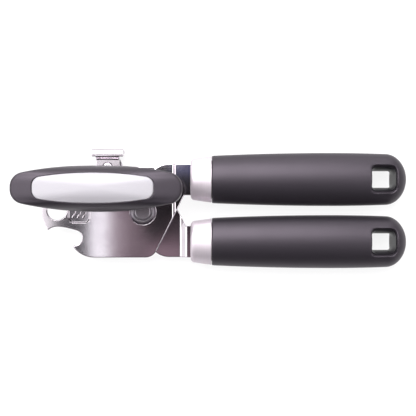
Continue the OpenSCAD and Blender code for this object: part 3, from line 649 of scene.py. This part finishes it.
def lens(length, height, end_r, inset, corner_steps=10, side_steps=36):
    """A lens with round ends: points round it, from its right-hand tip."""
    side_y = height / 2 - KNOB_SIDE_R
    end_x = length / 2 - end_r
    end_y = side_y + sqrt((KNOB_SIDE_R - end_r) ** 2 - end_x ** 2)
    join = atan2(end_y - side_y, end_x)
    corner = [Vector((end_x, end_y)) + (end_r - inset) * Vector((cos(a), sin(a)))
              for a in (join * i / corner_steps for i in range(corner_steps))]
    side = [Vector((0, side_y)) + (KNOB_SIDE_R - inset) * Vector((cos(a), sin(a)))
            for a in (join + (pi - 2 * join) * i / side_steps for i in range(side_steps + 1))]
    upper = corner + side + [Vector((-p.x, p.y)) for p in reversed(corner)]
    return upper + [Vector((p.x, -p.y)) for p in reversed(upper)]


def crest(x, y):
    """Height of the knob's face: crowned both ways, the two blended softly."""
    lengthwise = KNOB_RISE - KNOB_SAG * (2 * x / knob_l) ** 2
    across = KNOB_RISE * max(0.0, 1 - abs(2 * y / knob_h) ** FULLNESS) ** (1 / FULLNESS)
    gap = lengthwise - across
    soft = KNOB_CREST_SOFT * min(1.0, abs(4 * y / knob_h) ** 2)
    return (lengthwise + across - sqrt(gap * gap + soft * soft)) / 2


def rolled(depth, radius):
    """How far a rolled rim drops, at a depth in from its edge."""
    if depth >= radius:
        return 0.0
    return radius - sqrt(max(0.0, radius ** 2 - (radius - depth) ** 2))


def knob_point(p, z):
    return Vector((knob_at.x + p.x, knob_at.y + p.y, z))


face_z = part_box("knob_badge")[1].z + BADGE_SINK - KNOB_RISE
outer = lens(knob_l, knob_h, KNOB_END_R, 0)
window = [p + badge_shift for p in lens(badge_l, badge_h, BADGE_END_R, -SNUG)]
cavity = lens(knob_l, knob_h, KNOB_END_R, KNOB_WALL - SNUG)


def shell_ring(share):
    ring = []
    for edge, inner in zip(outer, window):
        p = edge.lerp(inner, share)
        z = face_z + crest(p.x, p.y) - rolled((p - edge).length, KNOB_RIM_R)
        z -= rolled((inner - p).length, WINDOW_RIM_R)
        ring.append(knob_point(p, max(knob_foot_z, z)))
    return ring


SHELL_ROWS = 40
ROW_CROWDING = 2.2               # how closely the rows crowd towards the rim
WINDOW_ROWS = 8
WINDOW_BAND = 0.09               # share of the face that those rows cover
shares = [(i / SHELL_ROWS) ** ROW_CROWDING for i in range(SHELL_ROWS)]
shares += [1 - WINDOW_BAND * (1 - i / WINDOW_ROWS) ** 2 for i in range(1, WINDOW_ROWS + 1)]
shares.sort()
rim = shell_ring(0)
foot = [knob_point(p, knob_foot_z) for p in outer]
wall_rows = [[f.lerp(r, i / 4) for f, r in zip(foot, rim)] for i in range(4)]
face_rows = [shell_ring(share) for share in shares]
window_foot = [knob_point(p, badge_low_z) for p in window]
cavity_roof = [knob_point(p, badge_low_z) for p in cavity]
cavity_foot = [knob_point(p, knob_foot_z) for p in cavity]
knob_shell = wrapped_sheet("knob_shell_rubber", wall_rows + face_rows + [
    window_foot, cavity_roof, cavity_foot, foot])
smooth(knob_shell, 40)
hand_over(knob_shell, rubber, "crank", "soft_touch", "knob_grip")

# === Badge ====================================================================
# A blank insert of satin metallised plastic snapped into the knob's window. Its
# face follows the knob's crown, and its rim is rolled over.

BADGE_RIM_R = 0.7 * MM
RIM_ROWS = 8
RIM_BAND = 0.1                   # share of the badge that those rows cover
FACE_ROWS = 10
FACE_SHARE = 0.88


def satin_metallised():
    """Vacuum-metallised plastic under a matt lacquer: bright, almost white,
    with faint lines along it from the brushed mould."""
    finish, tree, shader, place = new_finish(
        "satin metallised badge", Metallic=0.15, Specular_IOR_Level=0.3,
        Coat_Weight=0.1, Coat_Roughness=0.3)
    line_l, line_w = 20 * MM, 0.2 * MM
    stretch = add_node(tree, "Mapping", {
        "Vector": place, "Scale": (1 / line_l, 1 / line_w, 1 / line_w)}).outputs[0]
    lines = add_node(tree, "TexNoise", {
        "Vector": stretch, "Scale": 1.0, "Detail": 2.0}).outputs[0]
    tree.links.new(blend_colours(tree, lines, "#9a979c", "#928f95"), shader.inputs["Base Color"])
    tree.links.new(spread(tree, lines, 0.46, 0.56), shader.inputs["Roughness"])
    bump = add_node(tree, "Bump", {
        "Strength": 0.1, "Distance": 0.02 * MM, "Height": lines})
    tree.links.new(bump.outputs[0], shader.inputs["Normal"])
    return finish


badge_edge = lens(badge_l, badge_h, BADGE_END_R, 0)
badge_rows = [[knob_point(badge_shift, badge_low_z)] * len(badge_edge)]
badge_rows.append([knob_point(p + badge_shift, badge_low_z) for p in badge_edge])
shares = [1 - RIM_BAND * (i / RIM_ROWS) ** 2 for i in range(RIM_ROWS + 1)]
shares += [FACE_SHARE * (1 - i / FACE_ROWS) for i in range(1, FACE_ROWS + 1)]
for share in shares:
    row = []
    for edge in badge_edge:
        p = edge * share + badge_shift
        z = face_z + crest(p.x, p.y) - BADGE_SINK
        z -= rolled((edge + badge_shift - p).length, BADGE_RIM_R)
        row.append(knob_point(p, z))
    badge_rows.append(row)
badge = wrapped_sheet("knob_badge_blank", badge_rows)
smooth(badge, 40)
hand_over(badge, satin_metallised(), "crank", "badge_silver", "knob_badge")

# === Knob screw ===============================================================
# A cross-slotted steel screw under the badge draws the knob onto the shaft. It
# is turned like the shaft, and only shows if the badge is prised off.

SCREW_EDGE = 0.2 * MM

screw = copy_of("knob_screw", "knob_screw_turned")
round_edges(screw, SCREW_EDGE, segments=2)
hand_over(screw, crank_steel, "crank", "hardened_steel", "knob_screw")

# === Studio ===================================================================
# A light table of white opal acrylic under wide soft lamps, seen square on from
# above. A row of small lamps hangs in the dim air overhead, and the polished
# plates mirror them as bright and dark bands.

CAMERA_DISTANCE = 400 * MM
VIEW_WIDTH = 229.2 * MM
FRAMING = Vector((-4.0, 0.2)) * MM
SENSOR = 36
TABLE_SIDE = 16
# The pale haze at the horizon clears between these rises, as sines of their angle
HAZE_FROM, HAZE_TO = 0.06, 0.2
OVERHEAD_Z = 0.8
# The small lamps: left, right, near and far edges as shares of their height,
# how bright each is, and its colour
OVERHEAD = (
    (-0.430, -0.322, -0.25, 0.10, 1.6, "#ffffff"),
    (-0.322, -0.252, -0.25, 0.078, 0.1, "#f6f6ff"),
    (-0.248, -0.211, -0.25, 0.078, 1.85, "#fbfdff"),
    (-0.211, -0.196, -0.25, 0.078, 0.75, "#fff3fa"),
    (-0.196, -0.170, -0.25, 0.078, 0.4, "#ffe6f2"),
    (-0.170, -0.126, -0.25, -0.055, 0.25, "#ffe1ee"),
    (-0.170, -0.138, -0.055, 0.078, 0.25, "#ffe1ee"),
    (-0.126, -0.060, -0.40, -0.074, 0.36, "#ffdaea"),
    (-0.108, -0.060, -0.074, -0.055, 0.14, "#ffdaea"),
    (-0.060, 0.060, -0.40, -0.055, 0.17, "#ffdaea"),
    (-0.085, -0.040, -0.055, -0.02, 0.06, "#ffdaea"),
    (-0.322, -0.138, 0.078, 0.50, 1.2, "#ffffff"),
    (-0.138, -0.060, 0.10, 0.50, 1.2, "#ffffff"),
    (-0.080, 0.000, 0.076, 0.10, 0.34, "#b4bcff"),
)

low, high = (Vector(corner) for corner in cad_box)
centre = (low + high) / 2
plate_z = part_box("front_plate")[1].z


def soft_lamp(name, place, aim, size, watts, colour="#ffffff"):
    deselect()
    bpy.ops.object.light_add(type="AREA", location=place)
    lamp = bpy.context.object
    lamp.name = name
    lamp.data.shape = "RECTANGLE"
    lamp.data.size, lamp.data.size_y = size
    lamp.data.energy = watts
    lamp.data.color = srgb(colour)[:3]
    lamp.rotation_euler = (Vector(aim) - Vector(place)).to_track_quat("-Z", "Y").to_euler()


def opal_acrylic():
    """Opal acrylic over a light box: matt, and lit from below, so it stays white
    and shadows on it stay faint."""
    finish, tree, shader, place = new_finish(
        "opal acrylic sheet", Roughness=0.85, Emission_Color=srgb("#ffffff"),
        Emission_Strength=0.86)
    cloud = add_node(tree, "TexNoise", {
        "Vector": place, "Scale": 1 / (1.2 * MM), "Detail": 4.0}).outputs[0]
    tree.links.new(blend_colours(tree, cloud, "#666566", "#626163"), shader.inputs["Base Color"])
    return finish


deselect()
bpy.ops.mesh.primitive_plane_add(size=TABLE_SIDE, location=(centre.x, centre.y, low.z))
table_top = bpy.context.object
table_top.name = "table_top"
table_top.data.materials.append(opal_acrylic())

soft_lamp("far lamp", (-0.25, 0.70, 1.08), (-0.1, 0, 0), (1.2, 1.1), 39)
soft_lamp("far low lamp", (0.0, 1.25, 0.35), (0, 0, 0), (1.9, 0.5), 8)
soft_lamp("left lamp", (-0.95, 0.05, 0.95), (0, 0, 0), (1.4, 0.8), 11)
soft_lamp("left low lamp", (-1.15, 0.0, 0.45), (0, 0, 0), (1.2, 0.3), 1.6)
soft_lamp("right lamp", (0.95, 0.05, 0.95), (0, 0, 0), (1.4, 0.8), 11)
for left, right, near, far, radiance, colour in OVERHEAD:
    size = ((right - left) * OVERHEAD_Z, (far - near) * OVERHEAD_Z)
    place = Vector(((left + right) / 2 * OVERHEAD_Z, (near + far) / 2 * OVERHEAD_Z, OVERHEAD_Z))
    soft_lamp("overhead lamp", place, place * Vector((1, 1, 0)), size,
              radiance * pi * size[0] * size[1], colour)

# Dim air overhead, with a low pale haze round the horizon
air = bpy.data.worlds.new("dim studio air")
air.use_nodes = True
tree = air.node_tree
direction = add_node(tree, "TexCoord", {}).outputs["Generated"]
rise = add_node(tree, "SeparateXYZ", {"Vector": direction}).outputs["Z"]
clearing = add_node(tree, "MapRange", {
    "Value": rise, "From Min": HAZE_FROM, "From Max": HAZE_TO}).outputs[0]
tree.links.new(blend_colours(tree, clearing, "#f6f6f6", "#242224"),
               tree.nodes["Background"].inputs["Color"])
bpy.context.scene.world = air

deselect()
bpy.ops.object.camera_add(location=(
    centre.x + FRAMING.x, centre.y + FRAMING.y, plate_z + CAMERA_DISTANCE), rotation=(0, 0, 0))
camera = bpy.context.object
camera.data.sensor_width = SENSOR
camera.data.lens = SENSOR * CAMERA_DISTANCE / VIEW_WIDTH
bpy.context.scene.camera = camera
bpy.context.scene.view_settings.view_transform = "Standard"
